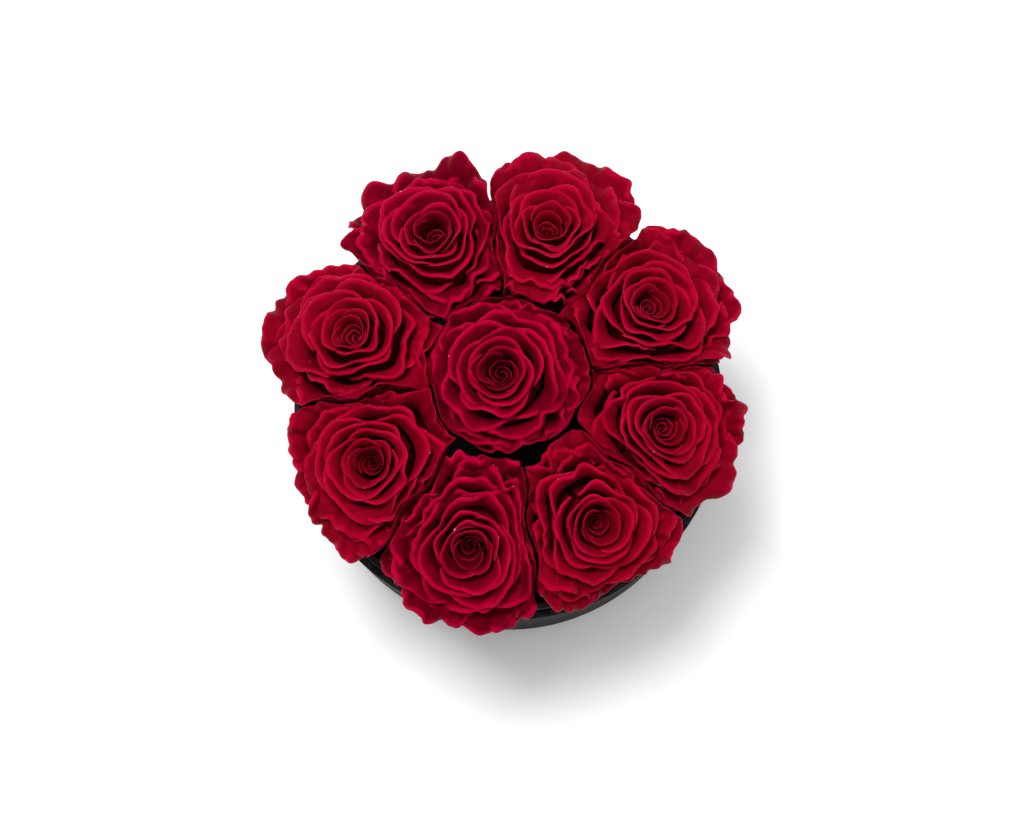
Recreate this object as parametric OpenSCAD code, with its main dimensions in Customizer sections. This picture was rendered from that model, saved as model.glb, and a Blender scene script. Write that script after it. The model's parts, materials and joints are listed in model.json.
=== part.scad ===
// Round flower box: a low wrapped-board box with a raised neck, a block of dry foam inside it,
// and nine preserved roses, each pushed into the foam on its own stem.
// Millimetres, +Z up. The origin is the centre of the face that the box stands on.

/* [Box] */
// Outside diameter of the box
box_d = 160; // [156:1:180]
// Height of the outer wall's top edge above the table
wall_h = 62; // [55:1:80]
// How far the neck stands above the outer wall
neck_rise = 8; // [4:1:10]
// Thickness of the outer wall's board
wall_t = 2.5; // [1.5:0.1:3]
// Thickness of the neck's board
neck_t = 2.4; // [1.5:0.1:3]
// Thickness of the bottom board
board_t = 2.4; // [1.5:0.1:4]
// Thickness of the paper glued under the bottom
paper_t = 0.6; // [0.4:0.1:1]

/* [Foam] */
// How far the foam's cover lies below the neck's top edge
foam_drop = 9; // [6:0.5:10]
// Thickness of the felt that covers the foam
cover_t = 1.2; // [0.8:0.1:2]
// Radial gap between the foam and the neck
foam_gap = 0.3; // [0.1:0.1:1]

/* [Roses] */
// Width of a rose of the ring
ring_rose_d = 66; // [60:1:66]
// Width of the middle rose
middle_rose_d = 54.5; // [50:0.5:54.5]
// Distance from the box's axis to where a ring rose enters the foam
ring_r = 44.5; // [42:0.5:45]
// Outward lean of a ring rose, in degrees
lean = 17; // [14:1:20]
// How much higher the middle rose sits than the ring roses
middle_lift = 9; // [4:1:12]
// Height of a rose above the foam that its stem enters
rose_h = 46; // [44:1:50]

/* [Stems] */
// Diameter of a stem
stem_d = 4.8; // [4:0.1:6]
// How deep a stem goes into the foam
stem_depth = 25; // [20:1:30]
// Radial clearance of a stem in its hole
stem_clear = 0.05; // [0.03:0.01:0.1]

/* [Hidden] */
PIECES = ["stem", "calyx", "outer_petals", "inner_petals", "heart"];
ring_count = 8;
// Angle of the first ring rose, and how far each rose stands from even spacing, in degrees
ring_phase = 28;
ring_drift = [-1, 0, -1, 1, 2, 3, 2, 0];

box_r = box_d / 2;
// Room for glue between the neck and the outer wall
glue_gap = 0.1;
neck_r = box_r - wall_t - glue_gap;
neck_top = wall_h + neck_rise;
floor_z = paper_t + board_t;
foam_top = neck_top - foam_drop;
foam_r = neck_r - neck_t - foam_gap;

// Heights along a rose's own axis, from the foam: stem's end, bloom's foot, widest place
stem_end = 2;
bloom_foot = 8;
bloom_wide = 32;
// Radius of the bloom's foot, and of the swelling where it leaves the stem
foot_r = 6;
swelling_r = 3.4;
// Widths of the inner petals and of the heart, and the gap round each
inner_d = 34;
heart_d = 17;
nest_gap = 0.2;
// What changes from one layer of petals to the next one in: how much higher it starts, how much higher
// its widest place is, and how much narrower its foot is
nest_step = 2.5;
nest_wide = 2;
nest_foot = 1.5;
// Petals in the outer and the inner layer, and the width of a gap between two petals of one layer
outer_count = 5;
inner_count = 4;
petal_gap = 0.3;
// How far a gap runs off to the side of the rose's axis, as a share of the core's radius
gap_offset = 0.6;
// Radius of the core that the outer petals stand round, and of its step for the inner petals
core_r = 5.4;
inner_core_r = 3.4;
// Height in the swelling under the bloom from which the core is drawn
core_foot = 5;
// Sepals of a rose, the thickness of one, and the height that its tip reaches
sepal_count = 5;
sepal_t = 0.9;
sepal_tip = 13;

// Half the gap between two roses that press together
rose_gap = 0.15;
// Distance from the box's axis to the flat between the middle rose and a ring rose
middle_flat = middle_rose_d / 2 + rose_gap;
// Steps along each half of a bloom's curved outline
outline_steps = 7;
// Longer than any piece
beyond = 200;
round_fn = 96;
box_fn = 180;

black_paper = [0.06, 0.055, 0.06];
black_felt = [0.05, 0.045, 0.05];
black_foam = [0.08, 0.075, 0.075];
rose_red = [0.62, 0.0, 0.08];
deep_red = [0.42, 0.0, 0.05];
leaf_green = [0.16, 0.24, 0.1];
stem_brown = [0.3, 0.24, 0.14];

// Angle at which ring rose i stands, counted anticlockwise from +X.
function ring_angle(i) = ring_phase + i * 360 / ring_count + ring_drift[i];

// Angle of the flat between ring rose i and the rose after it. The rose before the first is -1.
function flat_angle(i) =
    let (drift = ring_drift[(i + ring_count) % ring_count], next_drift = ring_drift[(i + 1) % ring_count])
        ring_phase + (i + 0.5) * 360 / ring_count + (drift + next_drift) / 2;

// Outline of a bloom: it swells from its foot to its widest place, then rounds in to its top.
function bloom_outline(r, foot_r, foot, wide, top) =
    let (top_turn = 62, top_in = 0.42, swell = 1.3)
        concat(
            [[0, foot]],
            [for (k = [0:outline_steps]) let (turn = 90 * k / outline_steps)
                [foot_r + (r - foot_r) * pow(sin(turn), swell), wide - (wide - foot) * cos(turn)]],
            [for (k = [1:outline_steps]) let (turn = top_turn * k / outline_steps)
                [r - top_in * r * (1 - cos(turn)), wide + (top - wide) * sin(turn) / sin(top_turn)]],
            [[0, top]]
        );

// A solid bloom whose surface lies the distance grow outside its stated size.
module bloom(d, foot_r, foot, wide, top, grow = 0) {
    rotate_extrude($fn = round_fn)
        polygon(bloom_outline(d / 2 + grow, foot_r + grow, foot - grow, wide, top + grow));
}

// Upright slots that run off to one side of the middle, so that each petal laps the next.
module petal_slots(count, middle_r, turn) {
    for (k = [0:count - 1])
        rotate([0, 0, turn + k * 360 / count])
            translate([gap_offset * middle_r, 0, 0])
                cube([petal_gap, beyond, beyond]);
}

// The stepped core that the petals stand round, with a narrower step for the inner petals.
module core(grow = 0) {
    inner_foot = bloom_foot + nest_step - nest_gap;
    heart_foot = bloom_foot + 2 * nest_step - nest_gap;
    translate([0, 0, core_foot]) {
        cylinder(r = core_r + grow, h = inner_foot - core_foot, $fn = round_fn);
        cylinder(r = inner_core_r + grow, h = heart_foot - core_foot, $fn = round_fn);
    }
}

module heart_bloom(grow = 0) {
    foot = bloom_foot + 2 * nest_step;
    bloom(heart_d, foot_r - 2 * nest_foot, foot, bloom_wide + 2 * nest_wide, rose_h, grow);
}

module inner_bloom(grow = 0) {
    foot = bloom_foot + nest_step;
    bloom(inner_d, foot_r - nest_foot, foot, bloom_wide + nest_wide, rose_h, grow);
}

module outer_petals(d) {
    difference() {
        bloom(d, foot_r, bloom_foot, bloom_wide, rose_h);
        inner_bloom(nest_gap);
        core(nest_gap);
        petal_slots(outer_count, core_r, 20);
    }
}

module inner_petals() {
    difference() {
        inner_bloom();
        heart_bloom(nest_gap);
        core(nest_gap);
        petal_slots(inner_count, inner_core_r, 65);
    }
}

module heart() {
    heart_bloom();
}

// Leaf shape on a wall that faces +X: wide at its foot and pointed at its tip.
module sepal_outline() {
    half_w = 3.4;
    low = stem_end + 2;
    rotate([90, 0, 90])
        linear_extrude(height = beyond)
            polygon([
                [-half_w, low], [half_w, low],
                [0.9 * half_w, 0.55 * sepal_tip], [0.55 * half_w, 0.8 * sepal_tip], [0, sepal_tip],
                [-0.55 * half_w, 0.8 * sepal_tip], [-0.9 * half_w, 0.55 * sepal_tip]
            ]);
}

// The swelling at the stem's end with its core, and five sepals that hug the underside of the bloom.
module calyx(d) {
    core();
    difference() {
        union() {
            translate([0, 0, stem_end])
                cylinder(r1 = swelling_r, r2 = foot_r + sepal_t, h = bloom_foot - stem_end, $fn = round_fn);
            intersection() {
                bloom(d, foot_r, bloom_foot, bloom_wide, rose_h, sepal_t + nest_gap);
                for (k = [0:sepal_count - 1]) rotate([0, 0, (k + 0.5) * 360 / sepal_count]) sepal_outline();
            }
        }
        bloom(d, foot_r, bloom_foot, bloom_wide, rose_h, nest_gap);
    }
}

module stem(depth) {
    tip_h = 4;
    tip_d = 1.2;
    translate([0, 0, tip_h - depth]) cylinder(d = stem_d, h = depth - tip_h + stem_end, $fn = round_fn);
    translate([0, 0, -depth]) cylinder(d1 = tip_d, d2 = stem_d, h = tip_h, $fn = round_fn);
}

// One piece of a rose, drawn along the rose's own axis with its zero at the foam.
module rose_piece(piece, d, depth) {
    if (piece == "stem") color(stem_brown) stem(depth);
    if (piece == "calyx") color(leaf_green) calyx(d);
    if (piece == "outer_petals") color(rose_red) outer_petals(d);
    if (piece == "inner_petals") color(rose_red) inner_petals();
    if (piece == "heart") color(deep_red) heart();
}

module middle_rose(piece) {
    translate([0, 0, foam_top + middle_lift])
        rose_piece(piece, middle_rose_d, stem_depth + middle_lift);
}

// Leans the rose outward where it enters the foam.
module on_ring(i) {
    rotate([0, 0, ring_angle(i)])
        translate([ring_r, 0, foam_top])
            rotate([0, lean, 0]) children();
}

// The room of ring rose i: between the flats that it shares with its neighbours and the middle rose.
// The flats are upright, so a rose drawn out along its leaning axis only moves away from them.
module ring_room(i) {
    own = ring_angle(i);
    before = flat_angle(i - 1);
    after = flat_angle(i);
    shift = rose_gap / sin(180 / ring_count);
    translate([shift * cos(own), shift * sin(own), 0])
        linear_extrude(height = beyond)
            polygon([
                middle_flat / cos(own - before) * [cos(before), sin(before)],
                beyond * [cos(before), sin(before)],
                beyond * [cos(after), sin(after)],
                middle_flat / cos(after - own) * [cos(after), sin(after)]
            ]);
}

module ring_rose(i, piece) {
    if (piece == "outer_petals" || piece == "calyx")
        intersection() {
            on_ring(i) rose_piece(piece, ring_rose_d, stem_depth);
            ring_room(i);
        }
    else on_ring(i) rose_piece(piece, ring_rose_d, stem_depth);
}

// Black paper glued under the box, which it stands on.
module bottom_paper() {
    color(black_paper) cylinder(r = box_r - wall_t / 2, h = paper_t, $fn = box_fn);
}

module bottom_board() {
    color(black_paper)
        translate([0, 0, paper_t]) cylinder(r = neck_r, h = board_t, $fn = box_fn);
}

// Round tube with softened edges, turned from one outline.
module tube(r, t, from, to, soft) {
    rotate_extrude($fn = box_fn)
        polygon([
            [r - t, from], [r - soft, from], [r, from + soft],
            [r, to - soft], [r - soft, to], [r - t + soft, to], [r - t, to - soft]
        ]);
}

module outer_wall() {
    color(black_paper) tube(box_r, wall_t, paper_t, wall_h, 0.5);
}

module neck_sleeve() {
    color(black_felt) tube(neck_r, neck_t, floor_z, neck_top, 0.4);
}

// The hole of every stem, past the stem's tip below and out of the foam above.
module stem_holes() {
    hole_r = stem_d / 2 + stem_clear;
    past = 1;
    above = 10;
    hole_h = past + stem_depth + above;
    for (i = [0:ring_count - 1])
        on_ring(i) translate([0, 0, -stem_depth - past]) cylinder(r = hole_r, h = hole_h, $fn = round_fn);
    translate([0, 0, foam_top - stem_depth - past]) cylinder(r = hole_r, h = hole_h, $fn = round_fn);
}

// Part of the foam's disc, between two heights.
module foam_layer(from, to) {
    difference() {
        translate([0, 0, from]) cylinder(r = foam_r, h = to - from, $fn = box_fn);
        stem_holes();
    }
}

module foam_block() {
    color(black_foam) foam_layer(floor_z, foam_top - cover_t);
}

module foam_cover() {
    color(black_felt) foam_layer(foam_top - cover_t, foam_top);
}

bottom_paper();
bottom_board();
outer_wall();
neck_sleeve();
foam_block();
foam_cover();
for (piece = PIECES) {
    middle_rose(piece);
    for (i = [0:ring_count - 1])
        ring_rose(i, piece);
}
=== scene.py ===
"""Round flower box with nine preserved roses: the looks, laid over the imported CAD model."""
import json
import math

import bpy
import numpy as np
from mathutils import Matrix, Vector


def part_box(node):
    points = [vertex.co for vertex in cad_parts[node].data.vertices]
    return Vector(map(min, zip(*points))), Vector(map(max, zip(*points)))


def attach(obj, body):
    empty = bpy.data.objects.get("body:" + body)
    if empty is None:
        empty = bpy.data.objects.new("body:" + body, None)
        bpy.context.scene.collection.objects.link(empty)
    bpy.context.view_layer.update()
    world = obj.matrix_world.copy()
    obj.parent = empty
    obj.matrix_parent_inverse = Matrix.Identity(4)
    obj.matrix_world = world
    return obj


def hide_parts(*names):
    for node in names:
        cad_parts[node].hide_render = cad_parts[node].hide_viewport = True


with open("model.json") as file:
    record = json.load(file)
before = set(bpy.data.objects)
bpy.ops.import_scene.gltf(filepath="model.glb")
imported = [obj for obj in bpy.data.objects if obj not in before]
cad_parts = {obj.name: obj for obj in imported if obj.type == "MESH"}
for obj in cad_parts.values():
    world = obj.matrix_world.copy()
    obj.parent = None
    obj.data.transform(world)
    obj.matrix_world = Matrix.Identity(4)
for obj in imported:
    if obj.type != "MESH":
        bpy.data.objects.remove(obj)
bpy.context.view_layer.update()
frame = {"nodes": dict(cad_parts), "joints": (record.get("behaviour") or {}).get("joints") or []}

MM = 0.001
GOLDEN_ANGLE = math.radians(137.508)


# ---------------------------------------------------------------- places read from the frame

def node_box(node):
    """Lowest and highest corner of a CAD node at rest, in mm."""
    low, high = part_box(node)
    return np.array(low) / MM, np.array(high) / MM


FOAM_TOP = node_box("foam_cover")[1][2]
NECK_LOW, NECK_HIGH = node_box("neck_sleeve")
NECK_R = NECK_HIGH[0]
NECK_TOP = NECK_HIGH[2]
WALL_LOW, WALL_HIGH = node_box("outer_wall")
WALL_R = WALL_HIGH[0]
WALL_TOP = WALL_HIGH[2]
MIDDLE_R = node_box("middle_rose_outer_petals")[1][0]


def rose_bodies():
    """Name of each rose's body and the direction it is drawn out in, the middle rose first."""
    return {j["child"]: np.array(j["axis"], float) for j in frame["joints"]}


def rose_foot(body, axis):
    """Point where the rose's own axis meets the foam."""
    low, high = node_box(body + "_stem")
    centre = (low + high) / 2
    return centre + axis * (FOAM_TOP - centre[2]) / axis[2]


AXES = rose_bodies()
FEET = {body: rose_foot(body, axis) for body, axis in AXES.items()}
RING = [body for body in AXES if body != "middle_rose"]
ANGLES = {body: math.atan2(FEET[body][1], FEET[body][0]) for body in RING}
# Height on a ring rose's own axis, from the foam, at which its heart starts
HEART_FOOT = 13
# How much higher the middle rose stands than the others
MIDDLE_LIFT = node_box("middle_rose_heart")[0][2] - FOAM_TOP - HEART_FOOT


# ---------------------------------------------------------------- small maths

def mix(a, b, share):
    """From a, at a share of 0, to b, at 1."""
    return a + (b - a) * share


def ease(x):
    """From 0 to 1 as x does, level at both ends, and held there outside them."""
    x = np.clip(x, 0, 1)
    return x * x * (3 - 2 * x)


def bell(x, middle, width):
    """A smooth bump of height 1 about middle."""
    return np.exp(-((x - middle) / width) ** 2)


def waves(rng, x, cycles):
    """Smooth irregular wave along x, about -1 to 1: one sine for each number of cycles."""
    total = 0
    for count in cycles:
        total = total + np.sin(2 * math.pi * (count * x / 2 + rng.random())) * rng.uniform(0.6, 1)
    return total / len(cycles)


# ---------------------------------------------------------------- thin sheets as closed meshes

def grid_normals(points):
    """Unit normal at each point of a grid of points."""
    along = np.gradient(points, axis=0)
    across = np.gradient(points, axis=1)
    normal = np.cross(across, along)
    length = np.linalg.norm(normal, axis=2, keepdims=True)
    return normal / np.maximum(length, 1e-9)


def sheet_faces(rows, cols):
    """Quads of a closed sheet: its front grid, its back grid and the strip round its edge."""
    index = np.arange(rows * cols).reshape(rows, cols)
    front = np.stack([index[:-1, :-1], index[:-1, 1:], index[1:, 1:], index[1:, :-1]], axis=-1).reshape(-1, 4)
    back = front[:, ::-1] + rows * cols
    edge = np.concatenate([index[0, :-1], index[:-1, -1], index[-1, :0:-1], index[:0:-1, 0]])
    after = np.roll(edge, -1)
    strip = np.stack([after, edge, edge + rows * cols, after + rows * cols], axis=-1)
    return np.concatenate([front, back, strip])


def sheets_object(name, sheets):
    """One object of many closed sheets. A sheet is a dict of points (mm), thick (mm) and marks.

    A mark is a number at each point that materials read. under is 1 on a sheet's back.
    """
    points, faces, marks = [], [], {}
    offset = 0
    for sheet in sheets:
        grid = sheet["points"]
        half = grid_normals(grid) * (sheet["thick"] / 2)[..., None]
        rows, cols = grid.shape[:2]
        points.append((grid + half).reshape(-1, 3))
        points.append((grid - half).reshape(-1, 3))
        faces.append(sheet_faces(rows, cols) + offset)
        offset += 2 * rows * cols
        for mark, value in sheet["marks"].items():
            flat = np.broadcast_to(value, (rows, cols)).reshape(-1)
            marks.setdefault(mark, []).extend([flat, flat])
        marks.setdefault("under", []).extend([np.zeros(rows * cols), np.ones(rows * cols)])
    return mesh_object(name, np.concatenate(points), np.concatenate(faces),
                       {mark: np.concatenate(parts) for mark, parts in marks.items()})


def mesh_object(name, points, faces, marks=None):
    """Smooth-shaded object from points in mm and quads, with one float attribute per mark."""
    mesh = bpy.data.meshes.new(name)
    mesh.from_pydata((points * MM).tolist(), [], faces.tolist())
    for mark, value in (marks or {}).items():
        mesh.attributes.new(mark, "FLOAT", "POINT").data.foreach_set("value", value.astype(np.float32))
    mesh.shade_smooth()
    mesh.update()
    piece = bpy.data.objects.new(name, mesh)
    bpy.context.collection.objects.link(piece)
    return piece


def turned_object(name, outline, steps, shape=None):
    """Closed ring turned from a closed outline of (radius, height) in mm. shape moves the points."""
    outline = np.array(outline, float)
    angle = np.linspace(0, 2 * math.pi, steps, endpoint=False)[:, None]
    radius = outline[None, :, 0] * np.ones_like(angle)
    height = outline[None, :, 1] * np.ones_like(angle)
    if shape:
        radius, height = shape(angle, radius, height)
    points = np.stack([radius * np.cos(angle), radius * np.sin(angle), height], axis=-1).reshape(-1, 3)
    count = len(outline)
    here = np.arange(steps)[:, None] * count + np.arange(count)[None, :]
    below = np.roll(here, -1, axis=1)
    beside = np.roll(here, -1, axis=0)
    faces = np.stack([here, beside, np.roll(beside, -1, axis=1), below], axis=-1).reshape(-1, 4)
    return mesh_object(name, points, faces)


# ---------------------------------------------------------------- the room that each rose has

# Lengths are in mm.
# Distance that a rose keeps from each limit, and the depth before it over which petals give way
ROSE_GAP = 0.35
SQUEEZE_ZONE = 2.0
# The same depth over the foam and the neck
FLOOR_ZONE = 1.5
# A petal that is pressed back rises by this share of the way. MOST_PRESSED is as much of the way as
# counts at one limit, and MOST_LIFT is the most that it rises in all.
PRESS_LIFT = 0.45
MOST_PRESSED = 6
MOST_LIFT = 3.5
# Wavy line between the ring and the middle rose: its offset, and each wave's height, number and phase
EDGE_OFFSET = 0.3
EDGE_WAVES = ((0.7, 3, 1.0), (0.6, 8, 2.4))
# Wavy wall between two ring roses: height and length of its waves, and the step in phase to the next wall
WALL_WAVE = 1.2
WALL_WAVE_LENGTH = 24
WALL_PHASE = 2.1
# Least height of a petal over the neck, how far inwards that holds, and its least height over the foam
NECK_CLEAR = 1.2
NECK_REACH = 6
FOAM_CLEAR = 1


def squeeze(excess, zone=SQUEEZE_ZONE):
    """Excess past a limit, pressed back smoothly so that it stays below 0."""
    pressed = -zone + zone * (1 - np.exp(-(excess + zone) / zone))
    return np.where(excess > -zone, pressed, excess)


def pressed_back(excess):
    """How far a point with this excess is moved back."""
    return excess - squeeze(excess)


def middle_edge(angle):
    """Radius of the wavy line where the ring of roses meets the middle rose."""
    waviness = sum(high * np.sin(count * angle + phase) for high, count, phase in EDGE_WAVES)
    return MIDDLE_R + EDGE_OFFSET + waviness


def side_walls(body):
    """Wavy upright walls to the roses either side: outward normal, direction along, side and number."""
    i = RING.index(body)
    own = ANGLES[body]
    walls = []
    for step, side in ((1, 1), (-1, -1)):
        other = ANGLES[RING[(i + step) % len(RING)]]
        turn = (other - own + math.pi) % (2 * math.pi) - math.pi
        between = own + turn / 2
        along = np.array([math.cos(between), math.sin(between)])
        normal = side * np.array([-along[1], along[0]])
        walls.append((normal, along, side, i if side > 0 else (i - 1) % len(RING)))
    return walls


def side_excess(flat_points, wall):
    """How far points are past a wall. The two roses that share it see the same waves."""
    normal, along, side, number = wall
    wave = WALL_WAVE * np.sin(2 * math.pi * (flat_points @ along) / WALL_WAVE_LENGTH + WALL_PHASE * number)
    return flat_points @ normal - side * wave + ROSE_GAP


def keep_in_room(points, body):
    """Presses petals back from the neighbouring roses, the neck's edge and the foam."""
    flat_points = points[..., :2]
    radius = np.linalg.norm(flat_points, axis=-1)
    edge = middle_edge(np.arctan2(flat_points[..., 1], flat_points[..., 0]))
    outwards = -1 if body == "middle_rose" else 1
    moved = pressed_back(outwards * (edge - radius) + ROSE_GAP)
    flat_points = flat_points * (1 + outwards * moved / np.maximum(radius, 1))[..., None]
    lift = PRESS_LIFT * np.clip(moved, 0, MOST_PRESSED)
    if body != "middle_rose":
        for wall in side_walls(body):
            normal = wall[0]
            moved = pressed_back(side_excess(flat_points, wall))
            flat_points = flat_points - moved[..., None] * normal
            lift = lift + PRESS_LIFT * np.clip(moved, 0, MOST_PRESSED)
    height = points[..., 2] + np.minimum(lift, MOST_LIFT)
    radius = np.linalg.norm(flat_points, axis=-1)
    lowest = np.where(radius > NECK_R - NECK_REACH, NECK_TOP + NECK_CLEAR, FOAM_TOP + FOAM_CLEAR)
    height = lowest - squeeze(lowest - height, FLOOR_ZONE)
    return np.concatenate([flat_points, height[..., None]], axis=-1)


# ---------------------------------------------------------------- petals

# Lengths are in mm. A pair of values is for the first petal, at the heart, and for the outermost one.
PETALS = 26
# Share of the petals that are in the inner layer
INNER_SHARE = 0.35
# Radius and height on the rose's axis of a petal's foot
FOOT_R = (1.0, 4.5)
FOOT_H = 9.5
# Share of a petal's length at which it starts to curl outwards, and its radius there
NECK_SHARE = (0.86, 0.6)
NECK_RADIUS = (4.6, 23.5)
# Share by which a petal bellies out below its neck, and the length that curls over above it
BELLY = (0.34, 0.03)
CURL_LENGTH = (2.4, 11.5)
# Degrees that a petal curls, what the outermost ones curl further, and the most that a fold adds
CURL_DEGREES = (42, 92)
OUTERMOST_DEGREES = 45
FOLD_DEGREES = 110
# Degrees by which the curl waves along a petal's rim, in long waves and in short ones
RUFFLE_DEGREES = (6, 34)
FINE_RUFFLE_DEGREES = (0, 42)
# Rims rise from the heart by up to CREST and drop towards the outermost petals by DROP.
CREST = 2.6
DROP = 8.0
# How far the hem rolls over, and the length of petal in it
HEM_RADIANS = (1.4, 2.6)
HEM_LENGTH = (0.9, 1.9)
# How far a petal's sides step in and out past the next petals, its face waves in and out, and its
# middle stands out to a point
TUCK = (0.35, 1.1)
CRUMPLE = (0.15, 1.2)
POINT = (0.3, 2.2)
# How far the rim waves up and down, and rises to a tip
SWAY = (0.5, 1.9)
TIP = (0.3, 1.0)
# Shorter waves in the face, and frills along the rim, that only the outer petals have
BUCKLE = 1.7
FRILL = 1.5
# Half of the angle that a petal takes round the rose, in radians
HALF_TURN = (1.9, 1.05)
# Radius of the heart's spiral at its start and its end, and how far below the rose's top it is there
HEART_R = (0.4, 3.8)
HEART_BELOW = (5.5, 2.1)
# Thickness of a petal and of a sheet of the heart, in their body and at their rim
PETAL_T = (0.5, 0.2)
HEART_T = (0.4, 0.24)
# Height on a rose's axis at which its lean equals its stance
LEAN_AT = 46
# Radius of the outermost rims before a rose is fitted to its room
FULL_R = 26.5
# Radius that the ring roses and the middle one may reach where nothing presses them
ROUND = (31.0, 27.2)
# Height on a rose's axis where it is fitted, and how squarely it fills the corners of its room
FIT_AT = 34.0
SQUARE = 11.0
# A rose is fitted this much past its limits, and the squeeze brings it back.
OVERFILL = 1.06
# Share that a ring rose's reach loses at its outer corners, and their direction and width in radians
CORNER = 0.07
CORNER_AT = 1.15
CORNER_WIDTH = 0.4
# Rows of points that a petal's profile is worked out on
FINE_ROWS = 80
# Share of a petal's length at which its rolled hem starts, and the rows of points before and along it
HEM_FROM = 0.95
BODY_ROWS = 27
HEM_ROWS = 7


def fit_radius(rose, turn):
    """How far a rose reaches in each direction: its own reach, rounded off where neighbours press it."""
    reach = ROUND[rose["body"] == "middle_rose"] + rose["reach"] * np.clip(np.cos(turn), 0, 1) ** 2
    if rose["body"] != "middle_rose":
        # The outer corners, next to the neighbours, are rounder.
        off_outward = np.arctan2(np.abs(np.sin(turn)), np.cos(turn))
        reach = reach * (1 - CORNER * bell(off_outward, CORNER_AT, CORNER_WIDTH))
    total = reach ** -SQUARE
    if rose["body"] != "middle_rose":
        middle = rose["place"](np.array([0.0, 0.0, FIT_AT]))[:2]
        way = rose["place"](np.stack([np.cos(turn), np.sin(turn), 0 * turn + FIT_AT], axis=-1))
        way = way[..., :2] - middle
        for wall in side_walls(rose["body"]):
            away = -side_excess(middle, wall) / np.maximum(way @ wall[0], 1e-3)
            total = total + (away * OVERFILL) ** -SQUARE
        inward = -(way @ middle)
        speed = np.sum(way ** 2, axis=-1)
        under_root = inward ** 2 - speed * (middle @ middle - (MIDDLE_R + 1) ** 2)
        away = (inward - np.sqrt(np.maximum(under_root, 0))) / speed
        meets = (under_root > 0) & (inward > 0)
        total = total + np.where(meets, (np.maximum(away, 1) * OVERFILL) ** -SQUARE, 0)
    return total ** (-1 / SQUARE)


def fitted(rose, radius, turn):
    """Radius of a point once the rose is fitted to its room; the heart hardly moves."""
    spread = fit_radius(rose, turn) / FULL_R
    return radius * (1 - (1 - spread) * np.clip(radius / FULL_R, 0, 1.1))


def rose_frame(body):
    """Maps points of a rose's own frame (mm, +Z along its axis, +X away from the box) to the row frame."""
    axis = AXES[body] / np.linalg.norm(AXES[body])
    angle = ANGLES.get(body, 0)
    out = np.array([math.cos(angle), math.sin(angle), 0])
    out = out - axis * (out @ axis)
    out /= np.linalg.norm(out)
    side = np.cross(axis, out)
    foot = FEET[body] + (axis * MIDDLE_LIFT if body == "middle_rose" else 0)
    return lambda p: foot + p[..., :1] * out + p[..., 1:2] * side + p[..., 2:3] * axis


def in_its_room(rose, local):
    """Points of the rose's own frame, leant as it leans, placed and kept in the room that it has."""
    lean = np.array([*rose["lean"], 0])
    local = local + lean * (local[..., 2:3] / LEAN_AT) ** 2
    return keep_in_room(rose["place"](local), rose["body"])


def petal_profile(rng, t, u, rose):
    """Radius and height of a whole petal, on FINE_ROWS rows from foot to rim and a column for each u."""
    v = np.linspace(0, 1, FINE_ROWS)[:, None]
    neck_at = mix(*NECK_SHARE, t ** 0.8)
    foot_r = mix(*FOOT_R, t)
    neck_r = mix(*NECK_RADIUS, t ** 1.08) * rng.uniform(0.965, 1.035)
    curl_len = mix(*CURL_LENGTH, t ** 0.9)
    outermost = ease((t - 0.6) / 0.4)
    turn = math.radians(mix(*CURL_DEGREES, t) + OUTERMOST_DEGREES * outermost)
    turn = turn * rng.uniform(mix(0.7, 0.5, outermost), 1.2)

    lobes = 0.55 + 0.45 * np.sin(math.pi * np.clip(np.abs(u + rng.uniform(-0.25, 0.25)), 0, 1)) ** 2
    ruffle = mix(*RUFFLE_DEGREES, t ** 1.5) * waves(rng, u, (1, 2, 3))
    ruffle = ruffle + mix(*FINE_RUFFLE_DEGREES, t ** 3) * waves(rng, u, (4, 6, 9))
    fold_degrees = rng.uniform(0, FOLD_DEGREES) * (0.25 + 0.75 * t)
    fold = fold_degrees * bell(u, rng.uniform(-0.8, 0.8), rng.uniform(0.1, 0.3))
    turn_here = turn * lobes + math.radians(1) * (ruffle + fold) * rose["ruffle"]
    step = np.clip((v - neck_at) / (1 - neck_at), 0, 1)
    lean = turn_here * step ** 1.35
    run = curl_len / (1 - neck_at) / FINE_ROWS
    above = step > 0
    curl_r = np.cumsum(np.where(above, np.sin(lean), 0) * run, axis=0)
    curl_h = np.cumsum(np.where(above, np.cos(lean), 0) * run, axis=0)

    crest = CREST * math.sin(math.pi * min(1.0, 0.1 + t * 1.1))
    top = rose["top"] + crest - DROP * t ** 2.4 + rng.uniform(-0.9, 0.7)
    top = top + outermost * rng.uniform(-1, 4)
    neck_h = top - float(np.median(curl_h.max(axis=0)))
    x = np.clip(v / neck_at, 0, 1)
    widening = 1 - (1 - x) ** mix(2.6, 1.5, t) + mix(*BELLY, t) * np.sin(math.pi * x) * x
    radius = foot_r + (neck_r - foot_r) * widening
    height = FOOT_H + (neck_h - FOOT_H) * x ** 1.12
    return v, radius + curl_r, height + curl_h


def rolled_hem(profile, v, v_here, t, bend):
    """Radius and height where the profile ends in a tight outward roll past HEM_FROM."""
    v_fine, fine_r, fine_h = profile

    def at(place, values):
        columns = [np.interp(place[:, c], v_fine[:, 0], values[:, c]) for c in range(v_here.shape[1])]
        return np.stack(columns, axis=1)

    radius, height = at(v_here, fine_r), at(v_here, fine_h)
    step = 0.01
    lean = np.arctan2(radius - at(v_here - step, fine_r), height - at(v_here - step, fine_h))
    share = np.clip((v - HEM_FROM) / (1 - HEM_FROM), 0, 1)
    roll = mix(*HEM_RADIANS, t) * bend
    size = mix(*HEM_LENGTH, t) / roll
    radius = radius + size * (np.cos(lean) - np.cos(lean + roll * share))
    height = height + size * (np.sin(lean + roll * share) - np.sin(lean))
    return radius, height


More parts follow.
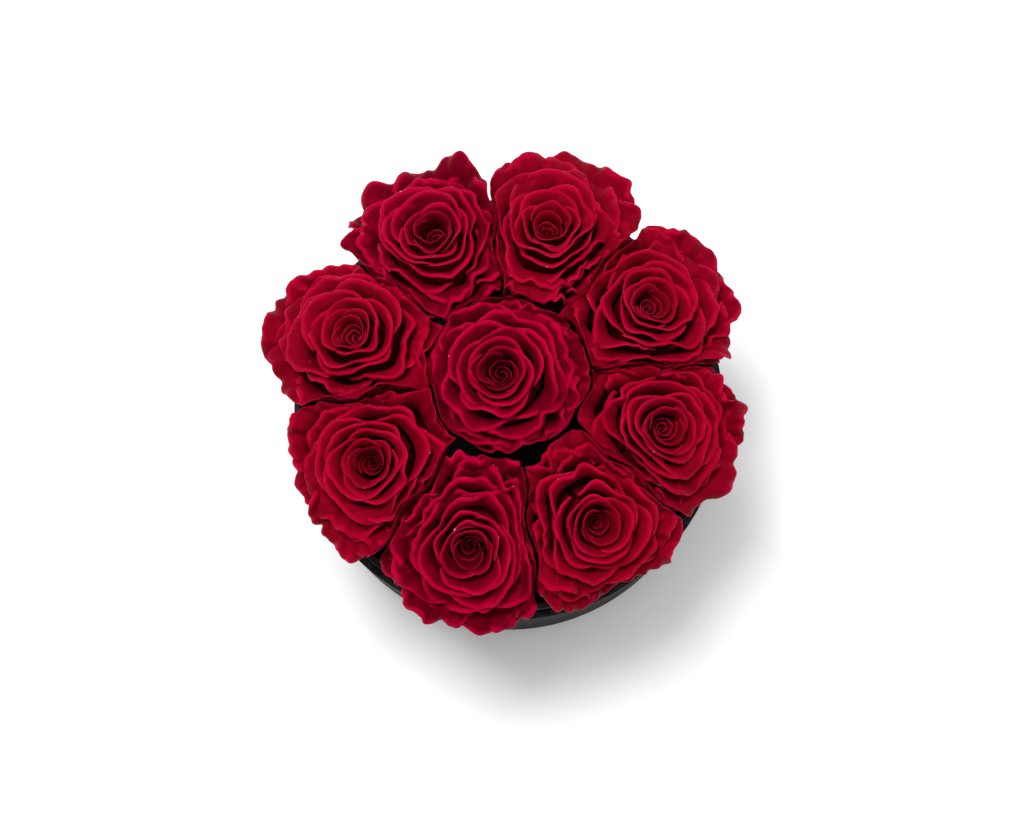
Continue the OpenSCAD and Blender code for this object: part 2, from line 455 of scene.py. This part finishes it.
def petal(rng, t, angle, rose, cols=61):
    """One petal as a sheet. t runs from 0 at the heart to 1 at the outermost petal."""
    u = np.linspace(-1, 1, cols)[None, :]
    profile = petal_profile(rng, t, u, rose)

    v = np.concatenate([np.linspace(0, HEM_FROM, BODY_ROWS), np.linspace(HEM_FROM, 1, HEM_ROWS)[1:]])[:, None]
    ragged = 1 + 0.01 * waves(rng, u, (7, 11, 17)) * mix(0.3, 1, t)
    reach = (1 - mix(0.1, 0.24, t) * np.abs(u) ** rng.uniform(2.6, 3.6)) * ragged
    v_here = np.clip(np.minimum(v, HEM_FROM) / HEM_FROM * reach, 0, 1)
    bend = rng.uniform(0.4, 1.0) + 0.25 * waves(rng, u, (1, 2))
    radius, height = rolled_hem(profile, v, v_here, t, bend)

    # One side of each petal tucks in under its neighbour and the other laps over it.
    radius = radius + u * mix(*TUCK, t) * rng.uniform(0.5, 1.5) * v_here
    crumple = waves(rng, u, (1, 2)) * 0.5 + waves(rng, u + v_here, (2, 3)) * 0.35
    tip_at, tip_width = rng.uniform(-0.35, 0.35), rng.uniform(0.15, 0.35)
    point = 1 / (1 + ((u - tip_at) / tip_width) ** 2) - 0.3
    buckle = waves(rng, u + 0.3 * v_here, (2, 3, 4)) * BUCKLE * ease((t - 0.45) / 0.5)
    radius = radius + (crumple * mix(*CRUMPLE, t) + point * mix(*POINT, t) + buckle) * v_here ** 1.5
    height = height + waves(rng, u, (1, 2, 3)) * mix(*SWAY, t) * v_here ** 2
    frill = FRILL * ease((t - 0.45) / 0.4) * ease((v_here - 0.6) / 0.3) * rng.uniform(0.4, 1.2)
    frill = frill * ease(0.6 + waves(rng, u, (1, 2)))
    height = height + frill * waves(rng, u, (4, 6, 8))
    radius = radius + 0.7 * frill * waves(rng, u, (4, 7, 9))
    # The rim comes to a soft point in the middle.
    height = height + mix(*TIP, t) * rng.uniform(0.2, 1) * bell(u, 0, 0.22) * v_here ** 4

    half_turn = mix(HALF_TURN[1], HALF_TURN[0], (1 - t) ** 2) * mix(1, 0.7, ease((t - 0.65) / 0.3))
    half_turn = half_turn * rng.uniform(0.85, 1.15)
    width = 0.45 + 0.55 * np.sin(0.5 * math.pi * np.clip(v_here / 0.6, 0, 1))
    turn = angle + rose["spin"] * (u * half_turn * width + 0.12 * v_here)
    radius = fitted(rose, radius, turn)
    local = np.stack([radius * np.cos(turn), radius * np.sin(turn), height], axis=-1)

    rim = np.maximum(v, np.abs(u) ** 8 * 0.98)
    return {
        "points": in_its_room(rose, local),
        "thick": mix(*PETAL_T, ease((rim - 0.7) / 0.3)),
        "marks": {
            "rim": rim,
            "out": t + 0 * rim,
            "shade": rng.random() + 0 * rim,
            "across": u * half_turn * radius * MM,
            "along": v * 40 * MM,
        },
    }


def heart_sheet(rng, start, rose, rows=16, cols=90):
    """A petal of the heart, rolled into a spiral."""
    turns = rng.uniform(1.1, 1.4)
    u = np.linspace(0, 1, cols)[None, :]
    v = np.linspace(0, 1, rows)[:, None]
    radius = (mix(*HEART_R, u ** 0.9) + 0.2 * waves(rng, u * 2, (3, 5))) * (0.8 + 0.2 * v)
    radius = radius + 0.7 * ease((v - 0.7) / 0.3) * (0.3 + u)
    top = rose["top"] - mix(*HEART_BELOW, u) + 0.6 * waves(rng, u * 2, (3, 6))
    height = mix(HEART_FOOT + 1, top, v)
    turn = start + rose["spin"] * u * turns * 2 * math.pi
    local = np.stack([radius * np.cos(turn), radius * np.sin(turn), height], axis=-1)
    rim = v + 0 * u
    return {
        "points": in_its_room(rose, local),
        "thick": mix(*HEART_T, ease((rim - 0.7) / 0.3)),
        "marks": {"rim": rim, "out": 0 * rim, "shade": rng.random() + 0 * rim,
                  "across": u * 10 * MM + 0 * rim, "along": v * 30 * MM + 0 * rim},
    }


def petal_layers(rose):
    """Sheets of the heart, of the inner petals and of the outer petals."""
    rng = np.random.default_rng(rose["seed"])
    start = rng.uniform(0, 2 * math.pi)
    heart = [heart_sheet(rng, start + k * math.pi, rose) for k in range(2)]
    inner, outer = [], []
    for k in range(PETALS):
        t = 1 - (1 - np.clip((k + rng.uniform(-0.45, 0.45)) / (PETALS - 1), 0, 1)) ** 1.5
        angle = start + rose["spin"] * k * GOLDEN_ANGLE + rng.uniform(-0.2, 0.2)
        layer = inner if k < PETALS * INNER_SHARE else outer
        layer.append(petal(rng, t, angle, rose))
    return heart, inner, outer


# ---------------------------------------------------------------- sepals and the swelling under a rose

SEPALS = 5
# Radius that a sepal starts at, how far it runs outwards, and half of its width, in mm
SEPAL_START = 3.4
SEPAL_RUN = 15.5
SEPAL_HALF_WIDTH = 3.3
# Radius and height of points up the swelling, in mm
SWELLING = ((0.3, 2.05), (2.6, 2.1), (3.1, 2.6), (3.7, 4.2), (4.6, 6.0), (5.6, 7.6), (6.2, 9.2))


def sepal(rng, angle, rose, rows=22, cols=11):
    """A narrow leaf that leaves the rose's foot and lies along the underside of the petals."""
    u = np.linspace(-1, 1, cols)[None, :]
    v = np.linspace(0, 1, rows)[:, None]
    radius = SEPAL_START + SEPAL_RUN * v ** 1.25 - 0.5 * u ** 2
    height = 5.6 + 8.8 * v - 3.2 * v ** 3 * rng.uniform(0.6, 1.4) + 0.7 * u ** 2
    half_width = SEPAL_HALF_WIDTH * (1 - v ** 2.2) * (0.75 + 0.5 * v) + 0.12
    turn = angle + u * half_width / np.maximum(radius, 1) + 0.1 * waves(rng, v, (1, 2)) * v
    local = np.stack([radius * np.cos(turn), radius * np.sin(turn), height + 0 * u], axis=-1)
    edge = np.maximum(np.abs(u), v ** 4)
    return {
        "points": keep_in_room(rose["place"](local), rose["body"]),
        "thick": mix(0.7, 0.3, ease(edge)),
        "marks": {"rim": edge, "across": u * half_width * MM, "along": v * 17 * MM + 0 * u},
    }


def calyx_object(rose):
    """The sepals and the swelling under a rose."""
    rng = np.random.default_rng(rose["seed"] + SEPAL_SEED)
    start = rng.uniform(0, 2 * math.pi)
    sheets = [sepal(rng, start + k * 2 * math.pi / SEPALS, rose) for k in range(SEPALS)]
    swelling = np.array(SWELLING)
    turn = np.linspace(0, 2 * math.pi, 33)[None, :]
    radius = swelling[:, :1] * (1 + 0.03 * np.cos(5 * (turn - start)))
    local = np.stack([radius * np.cos(turn), radius * np.sin(turn), swelling[:, 1:] + 0 * turn], axis=-1)
    sheets.append({
        "points": rose["place"](local[:, ::-1]),
        "thick": 0.3 + 0 * radius,
        "marks": {"rim": 0.2 + 0 * radius, "across": turn * 5 * MM + 0 * radius,
                  "along": swelling[:, 1:] * MM + 0 * radius},
    })
    return sheets_object(rose["body"] + "_sepals", sheets)


# ---------------------------------------------------------------- materials

# Colours are in linear light, and noise scales are in waves or cells to the metre.
# Painted shade: a petal darkens to this towards its foot, down between the petals.
PAINTED_SHADE_CRIMSON = (0.035, 0.0, 0.002)
# Painted shade: the heart and the innermost petals, down in the rose's pit, darken to this.
HEART_SHADE_CRIMSON = (0.055, 0.0, 0.0027)
VEIN_CRIMSON = (0.06, 0.0, 0.003)
SHADED_CRIMSON = (0.075, 0.0, 0.004)
DARK_CRIMSON = (0.11, 0.0, 0.0063)
CRIMSON = (0.18, 0.0, 0.0112)
# Painted highlight: random patches of the petals lighten to this.
HIGHLIGHT_PATCH_CRIMSON = (0.38, 0.0, 0.027)
# Painted highlight: the crest of a petal's rolled hem lightens to this.
RIM_HIGHLIGHT_CRIMSON = (0.5, 0.0, 0.036)
# Painted highlight: a thin lighter line along a petal's very edge, in places.
EDGE_HIGHLIGHT_RED = (0.6, 0.01, 0.06)
BACK_RED = (0.3, 0.002, 0.012)
FLECK_PINK = (0.85, 0.35, 0.38)

LEAF_DARK = (0.045, 0.075, 0.02)
LEAF_GREEN = (0.1, 0.12, 0.035)
LEAF_VEIN = (0.13, 0.15, 0.06)
LEAF_DRY = (0.13, 0.07, 0.03)
BARK_DARK = (0.09, 0.085, 0.03)
BARK_PALE = (0.22, 0.17, 0.08)

PAPER_BLACK = (0.004, 0.0035, 0.0038)
PAPER_CLOUD = (0.008, 0.007, 0.0073)
PAPER_FIBRE = (0.018, 0.016, 0.0165)
# Greyer paper along the top edge: rubbing, and a painted highlight where the edge catches the light.
PAPER_RUBBED_AND_HIGHLIGHT = (0.06, 0.053, 0.053)
PAPER_LINT = (0.3, 0.28, 0.28)
FOAM_PIT = (0.002, 0.0015, 0.002)
FOAM_BLACK = (0.012, 0.008, 0.01)
FOAM_FIBRE = (0.03, 0.022, 0.026)


class Look:
    """A procedural material: a Principled shader and the nodes that feed it."""

    def __init__(self, name):
        """Starts a material that reads points in the object's own frame."""
        self.material = bpy.data.materials.new(name)
        self.material.use_nodes = True
        self.tree = self.material.node_tree
        self.shader = self.tree.nodes["Principled BSDF"]
        self.place = self.add("ShaderNodeTexCoord").outputs["Object"]

    def add(self, kind, **settings):
        """A new node of this kind."""
        node = self.tree.nodes.new(kind)
        for key, value in settings.items():
            setattr(node, key, value)
        return node

    def feed(self, socket, value):
        """Links a socket to an input, or sets the input to a value."""
        if isinstance(value, bpy.types.NodeSocket):
            self.tree.links.new(value, socket)
        else:
            socket.default_value = value

    def set(self, **values):
        """Sets or links the shader's sockets: base_color for Base Color, and so on."""
        for key, value in values.items():
            name = key.replace("_", " ").title().replace("Ior", "IOR")
            self.feed(self.shader.inputs[name], value)

    def noise(self, scale, detail=4.0, roughness=0.55, place=None, distortion=0.0):
        node = self.add("ShaderNodeTexNoise")
        self.feed(node.inputs["Vector"], place or self.place)
        self.feed(node.inputs["Scale"], scale)
        self.feed(node.inputs["Detail"], detail)
        self.feed(node.inputs["Roughness"], roughness)
        self.feed(node.inputs["Distortion"], distortion)
        return node.outputs["Fac"]

    def cells(self, scale, place=None):
        node = self.add("ShaderNodeTexVoronoi")
        self.feed(node.inputs["Vector"], place or self.place)
        self.feed(node.inputs["Scale"], scale)
        return node.outputs["Distance"]

    def span(self, value, low, high, to_low=0.0, to_high=1.0):
        """value, remapped from low..high to to_low..to_high and clamped."""
        node = self.add("ShaderNodeMapRange")
        for socket, number in zip(node.inputs[:5], (value, low, high, to_low, to_high)):
            self.feed(socket, number)
        return node.outputs["Result"]

    def math(self, operation, a, b=0.0):
        node = self.add("ShaderNodeMath", operation=operation)
        self.feed(node.inputs[0], a)
        self.feed(node.inputs[1], b)
        return node.outputs["Value"]

    def blend(self, share, a, b, mode="MIX"):
        """Colour a turned to colour b by share."""
        node = self.add("ShaderNodeMix", data_type="RGBA", blend_type=mode)
        self.feed(node.inputs["Factor"], share)
        colours = [s for s in node.inputs if s.type == "RGBA"]
        for socket, colour in zip(colours, (a, b)):
            self.feed(socket, colour if isinstance(colour, bpy.types.NodeSocket) else (*colour, 1.0))
        return [s for s in node.outputs if s.type == "RGBA"][0]

    def mark(self, name):
        """A number that the mesh carries at each point."""
        return self.add("ShaderNodeAttribute", attribute_name=name).outputs["Fac"]

    def height(self):
        """Height of the point, in metres."""
        split = self.add("ShaderNodeSeparateXYZ")
        self.feed(split.inputs["Vector"], self.place)
        return split.outputs["Z"]

    def bump(self, value, strength, distance_mm):
        node = self.add("ShaderNodeBump")
        self.feed(node.inputs["Height"], value)
        self.feed(node.inputs["Strength"], strength)
        self.feed(node.inputs["Distance"], distance_mm * MM)
        self.feed(self.shader.inputs["Normal"], node.outputs["Normal"])


def petal_look():
    """Velvety crimson, veined along the petal and thinner at the rim. Painted shade darkens it towards the
    foot and in the heart; painted highlights lighten the rim and random patches.
    """
    look = Look("petal_velvet")
    rim, out, shade, under = (look.mark(m) for m in ("rim", "out", "shade", "under"))
    join = look.add("ShaderNodeCombineXYZ")
    look.feed(join.inputs["X"], look.mark("across"))
    look.feed(join.inputs["Y"], look.math("MULTIPLY", look.mark("along"), 0.12))
    look.feed(join.inputs["Z"], shade)
    veins = look.noise(1400, 3, 0.6, join.outputs["Vector"], 0.3)
    blotch = look.noise(90, 3, 0.5)
    pile = look.noise(3200, 2, 0.6)

    body = look.blend(look.span(blotch, 0.35, 0.65), DARK_CRIMSON, CRIMSON)
    body = look.blend(look.span(shade, 0, 1, 0, 0.5), body, SHADED_CRIMSON)
    body = look.blend(look.span(veins, 0.45, 0.75, 0, 0.35), body, VEIN_CRIMSON)
    # Painted highlight: random bright patches across the petals.
    body = look.blend(look.span(look.noise(150, 4, 0.6), 0.55, 0.7, 0, 0.6), body, HIGHLIGHT_PATCH_CRIMSON)
    # Painted highlight along the crest of each petal's rolled hem.
    body = look.blend(look.span(rim, 0.93, 0.965, 0, 0.5), body, RIM_HIGHLIGHT_CRIMSON)
    # Painted shade: the heart and the innermost petals, deep in the rose's pit, are darker.
    body = look.blend(look.span(out, 0.0, 0.22, 0.9, 0.0), body, HEART_SHADE_CRIMSON)
    # Painted shade: towards its foot, down between the petals, a petal darkens to near black crimson.
    painted_shade_body = look.blend(look.span(out, 0, 0.5, 0.92, 0.75), body, PAINTED_SHADE_CRIMSON)
    body = look.blend(look.span(rim, 0.6, 0.94), painted_shade_body, body)
    body = look.blend(look.math("MULTIPLY", under, 0.3), body, BACK_RED)
    # Painted highlight: a thin lighter line along the very edge of the rim, in places.
    edge = look.math("MULTIPLY", look.span(rim, 0.98, 1.0), look.span(blotch, 0.4, 0.6, 0.0, 0.5))
    body = look.blend(edge, body, EDGE_HIGHLIGHT_RED)
    fleck = look.math("MULTIPLY", look.span(look.noise(420, 2, 0.5), 0.73, 0.76), look.span(rim, 0.98, 1.0))
    body = look.blend(fleck, body, FLECK_PINK)
    look.set(
        base_color=body,
        roughness=look.span(pile, 0.3, 0.7, 0.5, 0.68),
        sheen_weight=0.2, sheen_roughness=0.35, sheen_tint=(1.0, 0.0, 0.08, 1.0),
        specular_ior_level=0.1, specular_tint=(1.0, 0.02, 0.12, 1.0),
        subsurface_weight=0.12, subsurface_radius=(1.0, 0.12, 0.1), subsurface_scale=0.0015,
    )
    relief = look.math("ADD", look.math("MULTIPLY", veins, 0.7), look.math("MULTIPLY", pile, 0.4))
    relief = look.math("ADD", relief, look.math("MULTIPLY", look.noise(330, 3, 0.55), 1.6))
    look.bump(relief, 0.6, 0.22)
    return look.material


def sepal_look():
    """Dull green, veined along the leaf, browner at its edges."""
    look = Look("sepal_leaf")
    join = look.add("ShaderNodeCombineXYZ")
    look.feed(join.inputs["X"], look.mark("across"))
    look.feed(join.inputs["Y"], look.math("MULTIPLY", look.mark("along"), 0.2))
    veins = look.noise(1600, 3, 0.6, join.outputs["Vector"])
    blotch = look.noise(160, 3, 0.6)
    body = look.blend(look.span(blotch, 0.35, 0.65), LEAF_DARK, LEAF_GREEN)
    body = look.blend(look.span(veins, 0.5, 0.75, 0, 0.5), body, LEAF_VEIN)
    body = look.blend(look.span(look.mark("rim"), 0.75, 1.0, 0, 0.7), body, LEAF_DRY)
    look.set(base_color=body, roughness=look.span(veins, 0.3, 0.7, 0.55, 0.75), sheen_weight=0.1)
    look.bump(veins, 0.5, 0.15)
    return look.material


def stem_look():
    """Dry green-brown bark, grained along the stem."""
    look = Look("stem_bark")
    stretch = look.add("ShaderNodeMapping")
    look.feed(stretch.inputs["Vector"], look.place)
    stretch.inputs["Scale"].default_value = (1.0, 1.0, 0.15)
    grain = look.noise(900, 4, 0.6, stretch.outputs["Vector"])
    body = look.blend(look.span(grain, 0.3, 0.7), BARK_DARK, BARK_PALE)
    look.set(base_color=body, roughness=look.span(grain, 0.3, 0.7, 0.6, 0.85))
    look.bump(grain, 0.6, 0.2)
    return look.material


def paper_look(name, top_mm, lint):
    """Black textured paper, greyer in patches along its top edge, where it is rubbed and carries a painted
    highlight, and flecked with lint.
    """
    look = Look(name)
    fibre = look.noise(1300, 5, 0.65)
    cloud = look.noise(45, 3, 0.5)
    body = look.blend(look.span(cloud, 0.35, 0.65), PAPER_BLACK, PAPER_CLOUD)
    body = look.blend(look.span(fibre, 0.55, 0.8, 0, 0.5), body, PAPER_FIBRE)
    # Along the top edge the paper greys in patches: partly rubbed wear, partly a painted highlight.
    rubbed_and_highlight = look.span(look.height(), (top_mm - 1.2) * MM, top_mm * MM)
    rubbed_and_highlight = look.math("MULTIPLY", rubbed_and_highlight, look.span(look.noise(260, 4, 0.7), 0.38, 0.68))
    body = look.blend(look.math("MULTIPLY", rubbed_and_highlight, 0.5), body, PAPER_RUBBED_AND_HIGHLIGHT)
    specks = look.span(look.cells(620), 0.12, 0.05)
    specks = look.math("MULTIPLY", specks, look.span(look.noise(170, 2, 0.5), 0.52, 0.6))
    body = look.blend(look.math("MULTIPLY", specks, lint), body, PAPER_LINT)
    look.set(base_color=body, roughness=look.span(fibre, 0.3, 0.7, 0.5, 0.72), specular_ior_level=0.06)
    look.bump(look.math("ADD", fibre, look.math("MULTIPLY", cloud, 0.3)), 0.35, 0.08)
    return look.material


def foam_look():
    """Black foam under felt: pits, fibres and a faint purple bloom."""
    look = Look("foam_black")
    pits = look.cells(900)
    fibre = look.noise(1500, 4, 0.7)
    body = look.blend(look.span(pits, 0.1, 0.5), FOAM_PIT, FOAM_BLACK)
    body = look.blend(look.span(fibre, 0.6, 0.8, 0, 0.4), body, FOAM_FIBRE)
    look.set(base_color=body, roughness=look.span(fibre, 0.3, 0.7, 0.85, 1.0), specular_ior_level=0.2)
    look.bump(look.math("ADD", pits, fibre), 0.8, 0.4)
    return look.material


def floor_look():
    """Matt white."""
    look = Look("floor_white")
    tone = look.noise(3, 2, 0.5)
    look.set(base_color=look.blend(tone, (0.9, 0.9, 0.9), (0.93, 0.93, 0.93)), roughness=0.9,
             specular_ior_level=0.1)
    return look.material


# ---------------------------------------------------------------- the box

# In mm: thickness of the wall and of the neck, radius of their edges, and length of a face on them
WALL_T = 2.5
NECK_T = 2.4
WALL_EDGE = 0.55
NECK_EDGE = 0.5
FACE_LENGTH = 6
# Number of points round the box, the places of the two seams in degrees, and the lap's height in mm
BOX_STEPS = 360
WALL_SEAM = 100
NECK_SEAM = 130
LAP = 0.16


def soft_outline(inner, outer, low, high, soft, steps=5):
    """Outline of a board wrapped in paper: a rectangle with its corners rounded, in even steps."""
    corners = [(outer - soft, low + soft, -90), (outer - soft, high - soft, 0),
               (inner + soft, high - soft, 90), (inner + soft, low + soft, 180)]
    outline = []
    for x, y, turn in corners:
        for k in range(steps + 1):
            a = math.radians(turn + 90 * k / steps)
            outline.append((x + soft * math.cos(a), y + soft * math.sin(a)))
    rows = []
    for (x0, y0), (x1, y1) in zip(outline, outline[1:] + outline[:1]):
        parts = max(1, int(math.hypot(x1 - x0, y1 - y0) / FACE_LENGTH))
        rows += [(mix(x0, x1, k / parts), mix(y0, y1, k / parts)) for k in range(parts)]
    return rows


def wrapped(seam_at, outer):
    """Shape of wrapped paper: a lapped seam up one side and a faint waviness."""
    def shape(angle, radius, height):
        off = (angle - seam_at + math.pi) % (2 * math.pi) - math.pi
        lap = ease((off + 0.09) / 0.004) * ease((0.09 - off) / 0.05)
        outside = ease((radius - outer + 1.2) / 0.6)
        wavy = 0.05 * np.sin(3 * angle + 0.03 * height) + 0.04 * np.sin(7 * angle + 0.08 * height)
        return radius + outside * (LAP * lap + wavy - 0.1), height
    return shape


def make_box():
    """The wall and the neck, wrapped in paper."""
    outline = soft_outline(WALL_R - WALL_T, WALL_R, WALL_LOW[2], WALL_TOP, WALL_EDGE)
    wall = turned_object("wall_wrap", outline, BOX_STEPS, wrapped(math.radians(WALL_SEAM), WALL_R))
    outline = soft_outline(NECK_R - NECK_T, NECK_R, NECK_LOW[2], NECK_TOP, NECK_EDGE)
    neck = turned_object("neck_wrap", outline, BOX_STEPS, wrapped(math.radians(NECK_SEAM), NECK_R))
    for piece, node, slot, top, lint in ((wall, "outer_wall", "box_paper", WALL_TOP, 0.25),
                                         (neck, "neck_sleeve", "neck_paper", NECK_TOP, 0.9)):
        piece.data.materials.append(paper_look(node + "_paper", top, lint))
        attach(piece, "box")
        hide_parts(node)


def dress(node, material):
    """Gives a carried-over CAD node its material."""
    mesh = frame["nodes"][node].data
    mesh.materials.clear()
    mesh.materials.append(material)


# How far each rose's heart is off its axis (mm), outwards and round the box, and how much further than
# the rest its outer side reaches
STANCE = {
    "middle_rose": (-3.4, -0.8, 0.0),
    "ring_rose_1": (-2.0, 0.3, 0.5),
    "ring_rose_2": (-1.8, 2.4, 4.0),
    "ring_rose_3": (1.0, 0.3, 1.0),
    "ring_rose_4": (-0.9, -0.8, 0.5),
    "ring_rose_5": (-2.2, 2.7, -3.5),
    "ring_rose_6": (3.3, 2.0, -4.5),
    "ring_rose_7": (1.9, 0.8, -8.0),
    "ring_rose_8": (-0.9, -1.4, -4.0),
}

# Height of a rose's top above the foam, in mm
TOPS = (43.0, 44.5)
# Starting numbers of the random draws for the roses, their petals and their sepals
ROSE_SEED = 40
PETAL_SEED = 100
SEPAL_SEED = 500


def make_roses():
    """Petals, calyx and stem of each rose. Everything random about a rose comes from its number."""
    petals, leaves, bark = petal_look(), sepal_look(), stem_look()
    for number, body in enumerate(AXES):
        pick = np.random.default_rng(ROSE_SEED + number)
        rose = {
            "body": body,
            "seed": PETAL_SEED + number,
            "place": rose_frame(body),
            "reach": STANCE[body][2],
            "top": pick.uniform(*TOPS),
            "spin": 1 if number % 3 else -1,
            "ruffle": pick.uniform(0.8, 1.25),
            "lean": STANCE[body][:2],
        }
        heart, inner, outer = petal_layers(rose)
        for part, sheets, slot in (("heart", heart, "petal_heart"), ("inner_petals", inner, "petal"),
                                   ("outer_petals", outer, "petal")):
            piece = sheets_object(f"{body}_{part}_velvet", sheets)
            piece.data.materials.append(petals)
            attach(piece, body)
            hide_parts(f"{body}_{part}")
        calyx = calyx_object(rose)
        calyx.data.materials.append(leaves)
        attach(calyx, body)
        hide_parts(body + "_calyx")
        dress(body + "_stem", bark)


# ---------------------------------------------------------------- floor, lights and camera

# Side of the floor in metres, and strength of the even light from all round
FLOOR_SIZE = 6
WORLD_LIGHT = 0.4
# Place in metres, size in metres and power in watts of each light
LIGHTS = {
    "key": ((-0.28, 0.27, 1.2), 0.4, 11),
    "soft": ((0.1, 0.14, 1.2), 1.3, 8.5),
}
LIGHTS_AIM = (0, 0, 0.08)
# The camera looks at a point this far off the middle of the neck's top (mm), from this far away (m) and
# at this elevation (degrees). Its sensor and lens are in mm.
CAMERA_OFFSET = (1.15, -5.26)
CAMERA_DISTANCE = 0.5065
CAMERA_ELEVATION = 77.9
SENSOR_WIDTH = 36
LENS = 48.7


def make_stage():
    """White floor, even white surroundings and the lights."""
    bpy.ops.mesh.primitive_plane_add(size=FLOOR_SIZE)
    floor = bpy.context.object
    floor.name = "floor"
    floor.data.materials.append(floor_look())
    world = bpy.data.worlds.new("studio")
    bpy.context.scene.world = world
    world.use_nodes = True
    background = world.node_tree.nodes["Background"]
    background.inputs["Color"].default_value = (1, 1, 1, 1)
    background.inputs["Strength"].default_value = WORLD_LIGHT
    for name, (place, size, power) in LIGHTS.items():
        area_light(name, place, size, power)


def area_light(name, place, size, power):
    """A square soft light that looks at the roses."""
    data = bpy.data.lights.new(name, "AREA")
    data.size = size
    data.energy = power
    light = bpy.data.objects.new(name, data)
    bpy.context.collection.objects.link(light)
    light.location = place
    aim = Vector(LIGHTS_AIM) - Vector(place)
    light.rotation_euler = aim.to_track_quat("-Z", "Y").to_euler()


def make_camera():
    """Looks steeply down on the box from its front."""
    target = Vector((*CAMERA_OFFSET, NECK_TOP)) * MM
    elevation = math.radians(CAMERA_ELEVATION)
    data = bpy.data.cameras.new("camera")
    data.sensor_width = SENSOR_WIDTH
    data.lens = LENS
    camera = bpy.data.objects.new("camera", data)
    bpy.context.collection.objects.link(camera)
    away = Vector((0, -math.cos(elevation), math.sin(elevation)))
    camera.location = target + away * CAMERA_DISTANCE
    camera.rotation_euler = (-away).to_track_quat("-Z", "Y").to_euler()
    bpy.context.scene.camera = camera
    bpy.context.scene.view_settings.view_transform = "Standard"


def dress_inside():
    """Materials of the box's bottom and of the foam, which keep their CAD shape."""
    paper = paper_look("bottom_paper_black", WALL_TOP, 0.2)
    dress("bottom_paper", paper)
    dress("bottom_board", paper)
    foam = foam_look()
    dress("foam_block", foam)
    dress("foam_cover", foam)


make_camera()
make_stage()
make_box()
make_roses()
dress_inside()
